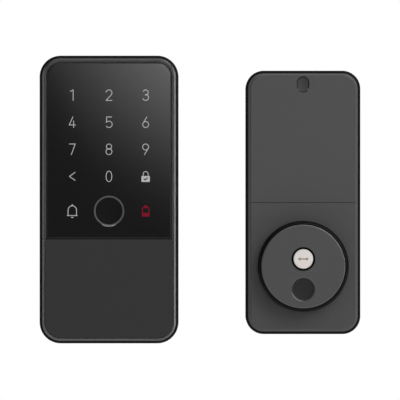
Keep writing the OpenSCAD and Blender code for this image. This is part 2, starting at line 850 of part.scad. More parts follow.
// Shaft behind the knob, with the flat socket that takes the spindle.
module knob_shaft() knob_unit() color(steel) difference() {
    turned([[0, shaft_front], [6, shaft_front], [6, int_front + 0.8], [journal_r, int_front + 0.8],
            [journal_r, -20], [shaft_r, -20], [shaft_r, shaft_back], [0, shaft_back]]);
    block(-spindle_t / 2 - 0.25, spindle_t / 2 + 0.25, shaft_back - 15, 0,
          -spindle_w / 2 - 0.25, spindle_w / 2 + 0.25);
}

module shaft_bush() knob_unit() color(brass) difference() {
    disc(bush_r, web_front - 0.7, web_back + 0.4);
    disc(journal_r + running, web_front - 2, web_back + 2);
}

module output_gear() knob_unit() color("#d9d5c8") difference() {
    union() {
        spur(output_teeth, output_mod, 0.12, output_front, output_back, [0, 0], step_angle);
        disc(9, output_front - 2, output_back + 1);
    }
    disc(shaft_r, output_front - 3, output_back + 2);
    for (a = [0:60:300])
        disc(2.6, output_front - 3, output_back + 2, 12.6 * [cos(a), sin(a)]);
}

module double_gear() knob_unit() color("#e4e0d4") difference() {
    union() {
        spur(wheel_teeth, motor_mod, 0.1, wheel_front, wheel_back, step_at, motor_angle);
        spur(step_teeth, output_mod, 0.12, wheel_back - 0.1, output_back + 0.5, step_at,
             step_angle + 180 + 180 / step_teeth);
    }
    disc(axle_r + running, web_back - 1, gearplate_front, step_at);
}

module gear_axle() knob_unit() color(steel) disc(axle_r, web_front + 0.6, gearplate_back, step_at);

// Flat-sided can motor.
module motor() knob_unit() color(steel) difference() {
    union() {
        intersection() {
            disc(6, wheel_back + 0.8, gearplate_front, motor_at);
            block(motor_at[0] - 7, motor_at[0] + 7, -22, 0, motor_at[1] - 5, motor_at[1] + 5);
        }
        disc(2, wheel_back + 0.3, wheel_back + 1, motor_at);
    }
    disc(0.75 + running, -25, wheel_back + 8, motor_at);
}

module motor_pinion() knob_unit() color(brass) {
    spur(motor_teeth, motor_mod, 0.1, wheel_front, wheel_back - 0.1, motor_at,
         motor_angle + 180 + 180 / motor_teeth);
    disc(0.75, wheel_back - 0.2, wheel_back + 7.5, motor_at);
}

module gearbox_plate() knob_unit() color("#33343a") difference() {
    plate(gearplate_front, gearplate_back) translate([-0.4, -4.2]) rounded_rect(52, 56, 6.5);
    disc(journal_r + 0.5, -10, 0);
    disc(axle_r, -10, 0, step_at);
    disc(1.5, -10, 0, motor_at);
    for (p = gearbox_posts) disc(1.1, -10, 0, p);
}

// ---------------------------------------------------------------- knob

module knob_body() knob_unit() color(black) turned([
    [6, knob_back + 1.6], [10, knob_back + 1.6], [10, knob_back], [knob_r - 1.2, knob_back],
    [knob_r, knob_back - 1.2], [knob_r, face_back + 1.6], [knob_face_r + 0.3, face_back],
    [knob_face_r - 2, face_back], [knob_face_r - 2, knob_back - 2], [9.4, knob_back - 2],
    [9.4, shaft_front - 0.6], [6, shaft_front - 0.6]]);

module knob_face() knob_unit() color(graphite) difference() {
    turned([[0, knob_front], [knob_face_r - 0.4, knob_front], [knob_face_r, knob_front + 0.4],
            [knob_face_r, face_back], [0, face_back]]);
    disc(button_r + 0.95, knob_front - 1, face_back + 1, [0, button_z]);
    disc(dimple_r, knob_front - 1, face_back + 1, [0, -dimple_z]);
}

module finger_dimple() knob_unit() color("#2c2c2d") difference() {
    disc(dimple_r, knob_front, face_back + 1.2, [0, -dimple_z]);
    cup_r = dish_radius(dimple_r - 0.35, dimple_deep);
    translate([0, knob_front + dimple_deep - cup_r, -dimple_z]) sphere(r = cup_r, $fn = 96);
}

// Cup that guides the button, with a hole in its floor for the button's stem.
module button_cup() knob_unit() color("#141414") difference() {
    disc(button_r + 0.95, knob_front, knob_front + 4.4, [0, button_z]);
    disc(button_r + 0.1, knob_front - 1, knob_front + 3.8, [0, button_z]);
    disc(1.8, knob_front, knob_front + 5, [0, button_z]);
}

module privacy_button() knob_unit() color("#d6cdc4") {
    disc(button_r, knob_front, knob_front + 2.2, [0, button_z]);
    disc(1.6, knob_front + 2.1, knob_front + 5, [0, button_z]);
}

// Coil under the button, as a sleeve of the coil's outer size.
module button_spring() knob_unit() color(steel) difference() {
    disc(3, knob_front + 2.2, knob_front + 3.8, [0, button_z]);
    disc(2.5, knob_front, knob_front + 5, [0, button_z]);
}

// ---------------------------------------------------------------- knob unit, back

module inner_cover() knob_unit() color("#202124") difference() {
    plate(inner_front, inner_back) int_outline(int_wall + 0.1);
    disc(journal_r + 1, -10, 0);
    for (x = [-1, 1]) disc(5.2, -10, 0, [x * bolt_spacing / 2, 0]);
    for (p = cover_posts) disc(1.1, -10, 0, p);
    for (p = hanger_at) disc(screw_r + 0.1, -10, 0, p);
    block(-9, 9, -10, 0, socket_z - 5, socket_z + 5);
    for (p = gearbox_posts) disc(2.1, -10, 0, p);
}

module mounting_plate() knob_unit() color("#a9acb0") difference() {
    plate(steel_front, 0) int_outline(int_wall + 0.3);
    disc(11, -5, 5);
    for (x = [-1, 1]) disc(2.95, -5, 5, [x * bolt_spacing / 2, 0]);
    for (p = hanger_at) disc(screw_r, -5, 5, p);
    plate(-5, 5) translate([0, socket_z]) rounded_rect(22, 14, 3);
    for (x = [-1, 1], z = [68, 78]) plate(-5, 5) translate([x * 9, z]) rounded_rect(12, 4, 1.9);
    for (p = cover_posts) disc(2.3, -5, 5, p);
}

// Screws: three for the gearbox, four that close the unit, two that hang it on its plate.
module knob_unit_screws() knob_unit() color(steel) {
    for (p = gearbox_posts) translate([p[0], 0, p[1]])
        mirror([0, 1, 0]) screw(0.85, 1.8, 0.5, -inner_front, -gearplate_back + 6);
    for (p = cover_posts) translate([p[0], 0, p[1]])
        mirror([0, 1, 0]) screw(0.85, 1.9, 0.9, -inner_back - 0.9, -inner_front + 2.4);
    for (p = hanger_at) translate([p[0], 0, p[1]])
        screw(screw_r, 2.7, 1.6, floor_front - 2.6, -0.2);
}

// Bolts that clamp the two units: head, a plain shoulder in the plate's hole, then the thread.
module door_bolts() knob_unit() color(steel) for (x = [-1, 1]) {
    translate([x * bolt_spacing / 2, 0, 0]) screw(2.5, 4.4, 2.4, steel_front - 2.4, 45, 0.9);
    disc(2.75, steel_front - 1, 0.1, [x * bolt_spacing / 2, 0]);
}

// ---------------------------------------------------------------- the lock

keypad_housing();
keypad_frame();
glass_panel();
key_legends();
battery_warning();
fingerprint_ring();
fingerprint_sensor();
touch_board();
main_board();
main_board_chips();
buzzer();
keyhole_cover();
cover_magnets();
deck_magnets();
cylinder_body();
key_plug();
key_pins();
driver_pins();
pin_springs();
plug_cap();
spindle();
usb_port();
usb_board();
back_plate();
keypad_unit_screws();
bolt_posts();
cable_grommet();
door_gasket();
centring_disc();
knob_housing();
lower_panel();
battery_cover();
release_tab();
tab_pin();
tab_spring();
battery_tray();
battery_cells();
battery_contacts();
set_button();
control_board();
control_board_chips();
cable_socket();
knob_shaft();
shaft_bush();
output_gear();
double_gear();
gear_axle();
motor();
motor_pinion();
gearbox_plate();
knob_body();
knob_face();
finger_dimple();
privacy_button();
button_cup();
button_spring();
inner_cover();
mounting_plate();
knob_unit_screws();
door_bolts();
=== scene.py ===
import json
import math

import bmesh
import bpy
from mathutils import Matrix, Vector


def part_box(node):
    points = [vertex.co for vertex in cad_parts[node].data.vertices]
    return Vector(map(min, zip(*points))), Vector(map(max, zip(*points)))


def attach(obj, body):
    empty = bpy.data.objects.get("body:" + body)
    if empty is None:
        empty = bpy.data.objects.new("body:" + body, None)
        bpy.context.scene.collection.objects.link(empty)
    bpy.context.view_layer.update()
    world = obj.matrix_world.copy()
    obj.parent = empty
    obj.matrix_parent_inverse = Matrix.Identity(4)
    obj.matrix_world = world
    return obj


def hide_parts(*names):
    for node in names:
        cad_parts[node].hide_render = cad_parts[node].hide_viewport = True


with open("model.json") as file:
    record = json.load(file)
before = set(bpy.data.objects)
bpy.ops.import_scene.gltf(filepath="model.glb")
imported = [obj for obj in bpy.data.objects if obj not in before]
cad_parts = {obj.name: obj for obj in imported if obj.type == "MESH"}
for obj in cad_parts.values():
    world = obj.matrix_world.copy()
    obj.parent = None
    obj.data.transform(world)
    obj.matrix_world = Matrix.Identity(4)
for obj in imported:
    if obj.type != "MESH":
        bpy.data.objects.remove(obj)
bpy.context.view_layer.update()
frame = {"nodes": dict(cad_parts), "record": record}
nodes = frame["nodes"]
mm = 0.001
sharp_angle = 32
arc_steps = 20


# ------------------------------------------------------------------ mesh helpers

def corner(cx, cz, r, start, steps):
    """Quarter arc about (cx, cz), counter-clockwise from the start angle in degrees."""
    points = []
    for i in range(steps + 1):
        a = math.radians(start + 90 * i / steps)
        points.append((cx + r * math.cos(a), cz + r * math.sin(a)))
    return points


def rounded(x0, x1, z0, z1, radii, inset, steps):
    """Rounded rectangle seen from the front, in mm, its radii counter-clockwise from the bottom left."""
    x0, x1, z0, z1 = x0 + inset, x1 - inset, z0 + inset, z1 - inset
    bl, br, tr, tl = [max(r - inset, 0.12) for r in radii]
    points = corner(x0 + bl, z0 + bl, bl, 180, steps)
    points += corner(x1 - br, z0 + br, br, 270, steps)
    points += corner(x1 - tr, z1 - tr, tr, 0, steps)
    points += corner(x0 + tl, z1 - tl, tl, 90, steps)
    return points


def circle(cx, cz, r, count):
    turn = 2 * math.pi / count
    return [(cx + r * math.cos(i * turn), cz + r * math.sin(i * turn)) for i in range(count)]


def round_edge(inset, front, across, deep, steps):
    """[(inset, y)] round an outer edge, from the side wall to the front face."""
    points = []
    for i in range(steps + 1):
        a = math.radians(90 * i / steps)
        points.append((inset + across * (1 - math.cos(a)), front + deep * (1 - math.sin(a))))
    return points


def shade(bm, angle):
    """Smooth faces, with the edges sharper than an angle in degrees kept sharp."""
    limit = math.radians(angle)
    for face in bm.faces:
        face.smooth = True
    for edge in bm.edges:
        edge.smooth = len(edge.link_faces) == 2 and edge.calc_face_angle(0) <= limit


def new_object(name, bm, material, body, smooth_angle=sharp_angle):
    """Object from a bmesh in mm, riding on a body."""
    bmesh.ops.recalc_face_normals(bm, faces=bm.faces)
    shade(bm, smooth_angle)
    bmesh.ops.scale(bm, vec=(mm, mm, mm), verts=bm.verts)
    mesh = bpy.data.meshes.new(name)
    bm.to_mesh(mesh)
    bm.free()
    obj = bpy.data.objects.new(name, mesh)
    bpy.context.collection.objects.link(obj)
    mesh.materials.append(material)
    even = obj.modifiers.new("even_normals", "WEIGHTED_NORMAL")
    even.keep_sharp = True
    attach(obj, body)
    return obj


def add_loop(bm, points, y):
    return [bm.verts.new((x, y, z)) for x, z in points]


def bridge(bm, a, b):
    count = len(a)
    for i in range(count):
        j = (i + 1) % count
        bm.faces.new((a[i], a[j], b[j], b[i]))


def fill(bm, loops):
    """Flat face inside the first loop, with the other loops as holes."""
    if len(loops) == 1:
        bm.faces.new(loops[0])
        return
    edges = []
    for loop in loops:
        for i, v in enumerate(loop):
            w = loop[(i + 1) % len(loop)]
            edges.append(bm.edges.get((v, w)) or bm.edges.new((v, w)))
    bmesh.ops.triangle_fill(bm, edges=edges, use_beauty=True)


def add_plate(bm, sides, holes=()):
    """Closed plate. sides and each hole are lists of (points, y) from the front face to the back face."""
    rings = [add_loop(bm, points, y) for points, y in sides]
    for a, b in zip(rings, rings[1:]):
        bridge(bm, a, b)
    fronts, backs = [rings[0]], [rings[-1]]
    for hole in holes:
        walls = [add_loop(bm, points, y) for points, y in hole]
        for a, b in zip(walls, walls[1:]):
            bridge(bm, a, b)
        fronts.append(walls[0])
        backs.append(walls[-1])
    fill(bm, fronts)
    fill(bm, backs)


def add_ring(bm, sides):
    """Closed ring: the last of the (points, y) joins the first."""
    rings = [add_loop(bm, points, y) for points, y in sides]
    for i, ring in enumerate(rings):
        bridge(bm, ring, rings[(i + 1) % len(rings)])


def add_lathe(bm, profile, cx, cz, count):
    """Turned solid about a line along Y, from [(r, y)] in mm. A point at r 0 becomes a pole."""
    rings = []
    for r, y in profile:
        if r < 1e-6:
            rings.append([bm.verts.new((cx, y, cz))])
        else:
            rings.append(add_loop(bm, circle(cx, cz, r, count), y))
    pairs = list(zip(rings, rings[1:]))
    if len(rings[0]) > 1 and len(rings[-1]) > 1:
        pairs.append((rings[-1], rings[0]))
    for a, b in pairs:
        if len(a) == 1 or len(b) == 1:
            pole, ring = (a[0], b) if len(a) == 1 else (b[0], a)
            for i, v in enumerate(ring):
                bm.faces.new((pole, v, ring[(i + 1) % len(ring)]))
        else:
            bridge(bm, a, b)


def add_box(bm, x0, x1, y0, y1, z0, z1):
    corners = ((x0, z0), (x1, z0), (x1, z1), (x0, z1))
    near = [bm.verts.new((x, y0, z)) for x, z in corners]
    far = [bm.verts.new((x, y1, z)) for x, z in corners]
    bridge(bm, near, far)
    bm.faces.new(near)
    bm.faces.new(far)


def add_tube(bm, path, r, sides):
    """Round wire along a path of mm points, closed at both ends."""
    points = [Vector(p) for p in path]
    across = None
    rings = []
    for i, p in enumerate(points):
        ahead = points[min(i + 1, len(points) - 1)] - points[max(i - 1, 0)]
        ahead.normalize()
        if across is None:
            across = ahead.orthogonal().normalized()
        across = (across - ahead * across.dot(ahead)).normalized()
        other = ahead.cross(across)
        turns = [2 * math.pi * k / sides for k in range(sides)]
        rings.append([bm.verts.new(p + r * (math.cos(a) * across + math.sin(a) * other)) for a in turns])
    for a, b in zip(rings, rings[1:]):
        bridge(bm, a, b)
    bm.faces.new(rings[0])
    bm.faces.new(rings[-1])


def lathe_object(name, profile, material, body, cx, cz, count):
    bm = bmesh.new()
    add_lathe(bm, profile, cx, cz, count)
    return new_object(name, bm, material, body)


def box_mm(node):
    low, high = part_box(node)
    return [v / mm for v in low], [v / mm for v in high]


# ------------------------------------------------------------------ materials

def material(name, colour, rough, metal=0.0, coat=0.0, spec=0.5, grain=0.0, grain_size=0.3,
             tint=0.0, rough_var=0.0, emit=None, emit_strength=0.0):
    """Principled material with grain in its bump, colour and roughness. Sizes are in mm."""
    made = bpy.data.materials.new(name)
    made.use_nodes = True
    tree = made.node_tree
    shader = tree.nodes["Principled BSDF"]
    shader.inputs["Metallic"].default_value = metal
    shader.inputs["Specular IOR Level"].default_value = spec
    shader.inputs["Coat Weight"].default_value = coat
    shader.inputs["Coat Roughness"].default_value = 0.1
    if emit:
        shader.inputs["Emission Color"].default_value = (*emit, 1)
        shader.inputs["Emission Strength"].default_value = emit_strength
    place = tree.nodes.new("ShaderNodeTexCoord")
    fine = tree.nodes.new("ShaderNodeTexNoise")
    fine.inputs["Scale"].default_value = 1 / (grain_size * mm)
    fine.inputs["Detail"].default_value = 3
    fine.inputs["Roughness"].default_value = 0.6
    tree.links.new(place.outputs["Object"], fine.inputs["Vector"])
    wide = tree.nodes.new("ShaderNodeTexNoise")
    wide.inputs["Scale"].default_value = 1 / (18 * mm)
    wide.inputs["Detail"].default_value = 4
    tree.links.new(place.outputs["Object"], wide.inputs["Vector"])
    shade = tree.nodes.new("ShaderNodeMapRange")
    shade.inputs["To Min"].default_value = 1 - tint
    shade.inputs["To Max"].default_value = 1 + tint
    tree.links.new(fine.outputs["Fac"], shade.inputs["Value"])
    paint = tree.nodes.new("ShaderNodeVectorMath")
    paint.operation = "SCALE"
    paint.inputs[0].default_value = colour
    tree.links.new(shade.outputs["Result"], paint.inputs["Scale"])
    tree.links.new(paint.outputs["Vector"], shader.inputs["Base Color"])
    polish = tree.nodes.new("ShaderNodeMapRange")
    polish.inputs["To Min"].default_value = rough - rough_var
    polish.inputs["To Max"].default_value = rough + rough_var
    tree.links.new(wide.outputs["Fac"], polish.inputs["Value"])
    tree.links.new(polish.outputs["Result"], shader.inputs["Roughness"])
    if grain > 0:
        bump = tree.nodes.new("ShaderNodeBump")
        bump.inputs["Strength"].default_value = 1
        bump.inputs["Distance"].default_value = grain * mm
        tree.links.new(fine.outputs["Fac"], bump.inputs["Height"])
        tree.links.new(bump.outputs["Normal"], shader.inputs["Normal"])
    return made


def brushed(name, colour, rough, metal=1.0, grain=0.004, rings_about=None):
    """Metal with fine lines along Y, or in rings about a point (x, z) in mm."""
    made = material(name, colour, rough, metal=metal, rough_var=0.04)
    tree = made.node_tree
    shader = tree.nodes["Principled BSDF"]
    place = next(node for node in tree.nodes if node.bl_idname == "ShaderNodeTexCoord")
    across, along = 1 / (0.12 * mm), 1 / (9 * mm)
    lines = tree.nodes.new("ShaderNodeTexNoise")
    lines.inputs["Scale"].default_value = 1
    lines.inputs["Detail"].default_value = 4
    if rings_about:
        split = tree.nodes.new("ShaderNodeSeparateXYZ")
        tree.links.new(place.outputs["Object"], split.inputs["Vector"])
        flat = tree.nodes.new("ShaderNodeCombineXYZ")
        tree.links.new(split.outputs["X"], flat.inputs["X"])
        tree.links.new(split.outputs["Z"], flat.inputs["Z"])
        away = tree.nodes.new("ShaderNodeVectorMath")
        away.operation = "DISTANCE"
        away.inputs[1].default_value = (rings_about[0] * mm, 0, rings_about[1] * mm)
        tree.links.new(flat.outputs["Vector"], away.inputs[0])
        spread = tree.nodes.new("ShaderNodeMath")
        spread.operation = "MULTIPLY"
        spread.inputs[1].default_value = across
        tree.links.new(away.outputs["Value"], spread.inputs[0])
        stack = tree.nodes.new("ShaderNodeCombineXYZ")
        tree.links.new(spread.outputs["Value"], stack.inputs["X"])
        tree.links.new(stack.outputs["Vector"], lines.inputs["Vector"])
    else:
        stretch = tree.nodes.new("ShaderNodeMapping")
        stretch.inputs["Scale"].default_value = (across, along, across)
        tree.links.new(place.outputs["Object"], stretch.inputs["Vector"])
        tree.links.new(stretch.outputs["Vector"], lines.inputs["Vector"])
    bump = tree.nodes.new("ShaderNodeBump")
    bump.inputs["Strength"].default_value = 1
    bump.inputs["Distance"].default_value = grain * mm
    tree.links.new(lines.outputs["Fac"], bump.inputs["Height"])
    tree.links.new(bump.outputs["Normal"], shader.inputs["Normal"])
    return made


graphite = material("graphite_coat", (0.061, 0.061, 0.062), 0.36, spec=0.38, grain=0.012,
                    grain_size=0.16, tint=0.06, rough_var=0.04)
charcoal = material("charcoal_coat", (0.0305, 0.0305, 0.0315), 0.52, spec=0.12, grain=0.05,
                    grain_size=0.4, tint=0.14, rough_var=0.05)
bezel = material("bezel_coat", (0.12, 0.12, 0.123), 0.3, metal=1.0, grain=0.004,
                 grain_size=0.12, tint=0.04, rough_var=0.03)
polished = material("polished_edge", (0.061, 0.061, 0.062), 0.16, spec=0.55, tint=0.03, grain_size=0.16,
                    rough_var=0.02)
black = material("black_plastic", (0.004, 0.004, 0.0045), 0.36, spec=0.12, grain=0.006,
                 grain_size=0.14, tint=0.05, rough_var=0.04)
knob_black = material("knob_black", (0.004, 0.004, 0.0045), 0.3, spec=0.1, grain=0.003,
                      grain_size=0.12, tint=0.04, rough_var=0.03)
glass = material("black_glass", (0.009, 0.009, 0.0092), 0.045, tint=0.02,
                 grain_size=0.5, rough_var=0.008)
dimple_coat = material("dimple_coat", (0.0185, 0.0185, 0.0195), 0.5, spec=0.15, grain=0.006,
                       grain_size=0.14, tint=0.05, rough_var=0.03)
# Release tab's coat, darker than the graphite: painted shade of the tab's recess.
tab_coat_painted_shade = material("tab_coat_painted_shade", (0.041, 0.041, 0.042), 0.5, spec=0.2, grain=0.01,
                    grain_size=0.16, tint=0.06, rough_var=0.04)
inner = material("inner_plastic", (0.018, 0.018, 0.02), 0.5, spec=0.4, grain=0.02,
                 grain_size=0.25, tint=0.08, rough_var=0.05)
# Both prints glow a little through emission: a painted glow that brightens them, for no lamp is behind
# them.
white_print = material("white_print", (0.31, 0.31, 0.31), 0.4, tint=0.03, grain_size=0.2, spec=0.2,
                       emit=(1, 1, 1), emit_strength=0.13)
red_print = material("red_print", (0.1, 0.003, 0.012), 0.5, tint=0.03, grain_size=0.2, spec=0.06,
                     emit=(1, 0.012, 0.09), emit_strength=0.095)
ring_metal = material("ring_metal", (0.11, 0.11, 0.114), 0.5, metal=0.5, spec=0.4, grain=0.003,
                      grain_size=0.1, tint=0.05, rough_var=0.03)
sensor = material("sensor_coat", (0.0055, 0.0055, 0.006), 0.4, spec=0.1, tint=0.03,
                  grain_size=0.3, rough_var=0.02)
champagne = brushed("champagne_metal", (0.775, 0.73, 0.7), 0.42, metal=0.35, grain=0.003,
                    rings_about=(101, 3.9))
mark_ink = material("mark_ink", (0.3, 0.25, 0.19), 0.5, spec=0.2, tint=0.05, grain_size=0.2)
steel = brushed("screw_steel", (0.5, 0.5, 0.51), 0.3)
nickel = material("nickel", (0.6, 0.59, 0.56), 0.2, metal=1, tint=0.02, rough_var=0.05,
                  grain=0.002, grain_size=0.2)
brass = brushed("plug_brass", (0.72, 0.53, 0.24), 0.28)
zinc = material("zinc_plate", (0.42, 0.42, 0.43), 0.42, metal=1, tint=0.1, grain=0.006,
                grain_size=0.5, rough_var=0.1)
rubber = material("rubber", (0.016, 0.016, 0.017), 0.75, spec=0.3, grain=0.02,
                  grain_size=0.3, tint=0.1, rough_var=0.05)
foam = material("foam", (0.024, 0.024, 0.026), 0.9, spec=0.2, grain=0.12, grain_size=0.45,
                tint=0.3, rough_var=0.04)
board = material("circuit_board", (0.012, 0.09, 0.045), 0.35, grain=0.006,
                 grain_size=0.8, tint=0.16, rough_var=0.06)
resin = material("chip_resin", (0.014, 0.014, 0.015), 0.55, grain=0.01, grain_size=0.12,
                 tint=0.1, rough_var=0.05)
white_plastic = material("white_plastic", (0.6, 0.6, 0.57), 0.38, grain=0.004,
                         grain_size=0.2, tint=0.02)
ivory = material("ivory_plastic", (0.6, 0.54, 0.4), 0.42, grain=0.004, grain_size=0.2, tint=0.03)
acetal = material("gear_plastic", (0.62, 0.58, 0.5), 0.4, spec=0.4, grain=0.004,
                  grain_size=0.3, tint=0.03)
can = brushed("motor_can", (0.5, 0.5, 0.51), 0.3)
wrap_black = material("cell_wrap_black", (0.012, 0.012, 0.013), 0.28, coat=0.3, tint=0.03,
                      grain_size=0.6, rough_var=0.04)
wrap_green = material("cell_wrap_green", (0.03, 0.2, 0.08), 0.28, coat=0.3, tint=0.03,
                      grain_size=0.6, rough_var=0.04)

by_slot = {
    "black_plastic": black, "dark_frame": bezel, "black_glass": glass, "white_print": white_print,
    "red_print": red_print, "ring_metal": ring_metal, "sensor_coat": sensor,
    "circuit_board": board, "chip_resin": resin, "inner_plastic": inner,
    "charcoal_coat": charcoal, "graphite_coat": graphite, "dark_tab": tab_coat_painted_shade,
    "dimple_coat": dimple_coat, "champagne_metal": champagne, "nickel": nickel,
    "screw_steel": steel, "plug_brass": brass, "zinc_plate": zinc, "rubber": rubber,
    "foam": foam, "cell_wrap": wrap_black, "white_plastic": white_plastic,
    "ivory_plastic": ivory, "gear_plastic": acetal, "motor_can": can,
}
for part in frame["record"]["subparts"]:
    shown = nodes[part["node"]]
    shown.data.materials.clear()
    shown.data.materials.append(by_slot[part["material_slot"]])


# ------------------------------------------------------------------ keypad unit

# Names that start with k_ are the keypad unit's lengths.
low, high = box_mm("keypad_housing")
k_sides = (low[0], high[0], low[2], high[2])
k_rim, k_back = low[1], high[1]
k_corner = 11.0
frame_low, frame_high = box_mm("keypad_frame")
k_front, frame_back = frame_low[1], frame_high[1]
seam_top = frame_low[2]
cover_high = box_mm("keyhole_cover")[1]
seam_bottom = cover_high[2]
glass_low, glass_high = box_mm("glass_panel")


def cut_outline(points, z, keep_above):
    """The part of a closed outline on one side of a height, closed along it."""
    kept = []
    count = len(points)
    for i, p in enumerate(points):
        q = points[(i + 1) % count]
        inside_p = (p[1] >= z) == keep_above
        inside_q = (q[1] >= z) == keep_above
        if inside_p:
            kept.append(p)
        if inside_p != inside_q:
            t = (z - p[1]) / (q[1] - p[1])
            kept.append((p[0] + t * (q[0] - p[0]), z))
    return kept


def k_outline(inset):
    return rounded(*k_sides, (k_corner,) * 4, inset, arc_steps)


def housing_ring(outline, rim, back, wall, across, deep):
    """Side wall of a unit, open at the front and the back, with a rounded front rim."""
    bm = bmesh.new()
    sides = [(outline(0.2), back), (outline(0), back - 0.2)]
    sides += [(outline(inset), y) for inset, y in round_edge(0, rim, across, deep, 6)]
    sides += [(outline(wall - 0.1), rim), (outline(wall), rim + 0.1)]
    sides += [(outline(wall), back - 0.1), (outline(wall - 0.1), back)]
    add_ring(bm, sides)
    return bm


def carve(obj, cutter_bm):
    """Cuts a closed shape, in mm, out of a piece, for good."""
    bmesh.ops.recalc_face_normals(cutter_bm, faces=cutter_bm.faces)
    bmesh.ops.scale(cutter_bm, vec=(mm, mm, mm), verts=cutter_bm.verts)
    mesh = bpy.data.meshes.new("cutter")
    cutter_bm.to_mesh(mesh)
    cutter_bm.free()
    cutter = bpy.data.objects.new("cutter", mesh)
    bpy.context.collection.objects.link(cutter)
    step = obj.modifiers.new("carve", "BOOLEAN")
    step.object = cutter
    step.solver = "EXACT"
    obj.modifiers["even_normals"].show_viewport = False
    bpy.context.view_layer.update()
    graph = bpy.context.evaluated_depsgraph_get()
    result = bpy.data.meshes.new_from_object(obj.evaluated_get(graph))
    obj.modifiers.remove(step)
    obj.modifiers["even_normals"].show_viewport = True
    obj.data = result
    bpy.data.objects.remove(cutter)
    bm = bmesh.new()
    bm.from_mesh(result)
    shade(bm, sharp_angle)
    bm.to_mesh(result)
    bm.free()


def open_path(sides, inset, z_end, r, over_the_top):
    """Path along three sides of an outline, from one end on a seam to the other."""
    x0, x1, z0, z1 = sides
    x0, x1, z0, z1 = x0 + inset, x1 - inset, z0 + inset, z1 - inset
    r = max(r - inset, 0.12)
    if over_the_top:
        first = corner(x0 + r, z1 - r, r, 90, arc_steps)[::-1]
        second = corner(x1 - r, z1 - r, r, 0, arc_steps)[::-1]
    else:
        first = corner(x0 + r, z0 + r, r, 180, arc_steps)
        second = corner(x1 - r, z0 + r, r, 270, arc_steps)
    return [(x0, z_end)] + first + second + [(x1, z_end)]


def add_sweep(bm, sides, z_end, r, over_the_top, profile):
    """Bar with a closed (inset, y) profile, run along three sides of an outline."""
    rows = [add_loop(bm, open_path(sides, inset, z_end, r, over_the_top), y) for inset, y in profile]
    for i, a in enumerate(rows):
        b = rows[(i + 1) % len(rows)]
        for j in range(len(a) - 1):
            bm.faces.new((a[j], a[j + 1], b[j + 1], b[j]))
    bm.faces.new([row[0] for row in rows])
    bm.faces.new([row[-1] for row in rows])


def pear(grow):
    """Outline of the key cylinder: a circle with the pin chamber below it."""
    r, half, foot = 9.5 + grow, 5.5 + grow, -19.5 - grow
    start = -math.degrees(math.acos(half / r))
    span = 180 - 2 * start
    points = []
    for i in range(49):
        a = math.radians(start + span * i / 48)
        points.append((r * math.cos(a), r * math.sin(a)))
    return points + [(-half, foot), (half, foot)]


# Side wall of the keypad unit, with the charging slot, and the deck behind the keyhole cover.
bm = housing_ring(k_outline, k_rim, k_back, 1.8, 0.9, 0.9)
keypad_shell = new_object("keypad_shell", bm, black, "case")
port_low, port_high = box_mm("usb_port")
port_y = (port_low[1] + port_high[1]) / 2
slot_r = (port_high[1] - port_low[1]) / 2 + 0.25
half_slot = port_high[0] + 0.25
cutter = bmesh.new()
slot = rounded(-half_slot, half_slot, port_y - slot_r, port_y + slot_r, (slot_r - 0.01,) * 4, 0, 8)
rows = []
for z in (k_sides[2] - 2, k_sides[2] + 5):
    rows.append([cutter.verts.new((x, y, z)) for x, y in slot])
bridge(cutter, rows[0], rows[1])
cutter.faces.new(rows[0])
cutter.faces.new(rows[1])
carve(keypad_shell, cutter)

deck_front, deck_back = k_front + 5.2, k_front + 6.4
deck_top = seam_bottom - 0.6
deck = cut_outline(k_outline(1.75), deck_top, False)
bm = bmesh.new()
holes = [[(pear(0.3), deck_front), (pear(0.3), deck_back)]]
magnet_x, magnet_z, magnet_r = 23, -22, 3.55
for side in (-1, 1):
    ring = circle(side * magnet_x, magnet_z, magnet_r, 48)
    holes.append([(ring, deck_front), (ring, deck_back)])
add_plate(bm, [(deck, deck_front), (deck, deck_back)], holes)
beam_x = k_sides[1] - 1.85
add_box(bm, -beam_x, beam_x, deck_front, deck_back + 3, deck_top - 1.2, deck_top - 0.02)
keypad_deck = new_object("keypad_deck", bm, inner, "case")
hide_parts("keypad_housing")

# Rim round the glass: bright chamfer, groove, flat band and the ledge that holds the glass.
front = k_front
rim_start = [(1.95, frame_back), (1.95, k_rim), (1.28, k_rim), (1.28, front + 0.62), (1.34, front + 0.54),
             (2.14, front + 0.04), (2.22, front), (2.3, front + 0.04), (2.38, front + 0.7),
             (2.76, front + 0.7), (2.82, front + 0.08), (2.9, front + 0.03)]
bm = bmesh.new()
add_sweep(bm, k_sides, seam_top, k_corner, True, rim_start + [
    (3.24, front + 0.03), (3.34, front + 0.08), (3.42, front + 0.5), (3.6, glass_high[1]),
    (5.25, glass_high[1]), (5.25, frame_back)])
keypad_rim = new_object("keypad_rim", bm, bezel, "case")
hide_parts("keypad_frame")

# Glass with a softened edge and the opening for the sensor.
ring_low, ring_high = box_mm("fingerprint_ring")
sensor_at = (0.0, (ring_low[2] + ring_high[2]) / 2)
ring_r = (ring_high[0] - ring_low[0]) / 2
g_front, g_back = glass_low[1], glass_high[1]


def glass_outline(inset):
    x, bottom, top = glass_high[0], glass_low[2], glass_high[2]
    return rounded(-x, x, bottom, top, (0.3, 0.3, 7.25, 7.25), inset, arc_steps)


bm = bmesh.new()
sides = [(glass_outline(inset), y) for inset, y in reversed(round_edge(0, g_front, 0.45, 0.4, 5))]
sides.append((glass_outline(0), g_back))
hole = []
for gap, y in ((0.12, g_front), (0.1, g_front + 0.05), (0.1, g_back)):
    hole.append((circle(*sensor_at, ring_r + gap, 128), y))
add_plate(bm, sides, [hole])
glass_plate = new_object("glass_plate", bm, glass, "case")
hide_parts("glass_panel")

# Metal ring round the sensor, standing 0.1 mm out of the glass.
front = g_front
r = ring_r
finger_ring = lathe_object("finger_ring", [
    (r, ring_high[1]), (r, front + 0.02), (r - 0.08, front - 0.07), (r - 0.2, front - 0.1),
    (r - 0.5, front - 0.1), (r - 0.52, front - 0.08), (r - 0.53, front + 0.4), (r - 0.85, front + 0.46),
    (r - 0.85, ring_high[1])],
    ring_metal, "case", *sensor_at, 160)
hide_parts("fingerprint_ring")

